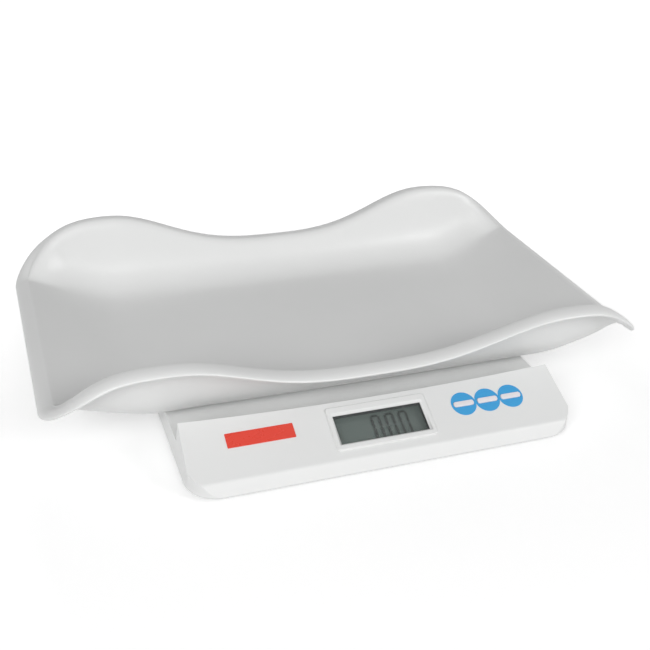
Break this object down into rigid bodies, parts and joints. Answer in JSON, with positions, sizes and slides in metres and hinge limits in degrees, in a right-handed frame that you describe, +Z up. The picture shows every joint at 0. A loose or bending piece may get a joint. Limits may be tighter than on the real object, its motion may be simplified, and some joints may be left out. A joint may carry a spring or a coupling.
{
  "type": "baby scale",
  "caption": "Digital baby scale with a wavy cradle tray on a low base, sloping console with display, keys and battery bay.",
  "frame": {"origin": "middle of the whole scale's footprint, on the table under the feet", "axes": "+X along the tray to the viewer's right, -Y towards the console, +Z up"},
  "size_m": [0.55, 0.3725, 0.0999],
  "materials": {
    "tray_white": "satin",
    "housing_white": "satin",
    "cover_white": "matt",
    "key_white": "satin",
    "overlay_blue": "satin",
    "badge_red": "gloss",
    "plate_steel": "satin",
    "screw_zinc": "satin",
    "cell_aluminium": "satin",
    "window_clear": "gloss",
    "lcd_grey": "gloss",
    "holder_white": "matt",
    "strip_rubber": "matt",
    "board_green": "satin",
    "chip_black": "matt",
    "header_cream": "matt",
    "battery_grey": "satin",
    "plunger_ochre": "matt",
    "lead_red": "satin",
    "lead_grey": "satin",
    "rubber_dark": "matt"
  },
  "bodies": {
    "base": {"base_housing": "housing_white", "base_cover": "cover_white", "case_screws": "screw_zinc", "foot_front_left": "rubber_dark", "foot_front_right": "rubber_dark", "foot_back_left": "rubber_dark", "foot_back_right": "rubber_dark", "battery": "battery_grey", "battery_snap": "chip_black", "battery_lead": "lead_red", "display_bezel": "housing_white", "display_window": "window_clear", "lcd_panel": "lcd_grey", "lcd_holder": "holder_white", "lcd_contact_strips": "strip_rubber", "main_board": "board_green", "board_chip": "chip_black", "cell_header": "header_cream", "battery_header": "header_cream", "board_screws": "screw_zinc", "switch_left": "chip_black", "switch_middle": "chip_black", "switch_right": "chip_black", "key_overlay": "overlay_blue", "badge": "badge_red", "cell_shim": "plate_steel", "cell_screws_fixed": "screw_zinc", "cell_lead": "lead_grey", "load_cell": "cell_aluminium"},
    "platform": {"load_platform": "plate_steel", "support_pad_front_left": "rubber_dark", "support_pad_front_right": "rubber_dark", "support_pad_back_left": "rubber_dark", "support_pad_back_right": "rubber_dark", "cell_spacer": "plate_steel", "cell_screws_free": "screw_zinc"},
    "tray_set": {"tray": "tray_white", "tray_pegs": "tray_white"},
    "left_key": {"key_left": "key_white", "plunger_left": "plunger_ochre"},
    "middle_key": {"key_middle": "key_white", "plunger_middle": "plunger_ochre"},
    "right_key": {"key_right": "key_white", "plunger_right": "plunger_ochre"},
    "battery_lid": {"battery_door": "cover_white"}
  },
  "joints": [
    {"name": "platform_travel", "type": "slide", "parent": "base", "child": "platform", "axis": [0, 0, -1], "range_m": [0, 0.0006], "stiffness_N_per_m": 200000, "springref_m": -0.00005, "deforming": ["load_cell"]},
    {"name": "tray_lift", "type": "slide", "parent": "platform", "child": "tray_set", "axis": [0, 0, 1], "range_m": [0, 0.12]},
    {"name": "left_key_press", "type": "slide", "parent": "base", "child": "left_key", "axis": [0, 0.4226, -0.9063], "range_m": [0, 0.0008], "stiffness_N_per_m": 1500, "springref_m": -0.0005},
    {"name": "middle_key_press", "type": "slide", "parent": "base", "child": "middle_key", "axis": [0, 0.4226, -0.9063], "range_m": [0, 0.0008], "stiffness_N_per_m": 1500, "springref_m": -0.0005},
    {"name": "right_key_press", "type": "slide", "parent": "base", "child": "right_key", "axis": [0, 0.4226, -0.9063], "range_m": [0, 0.0008], "stiffness_N_per_m": 1500, "springref_m": -0.0005},
    {"name": "battery_lid_lift", "type": "slide", "parent": "base", "child": "battery_lid", "axis": [0, 0, -1], "range_m": [0, 0.03]}
  ]
}
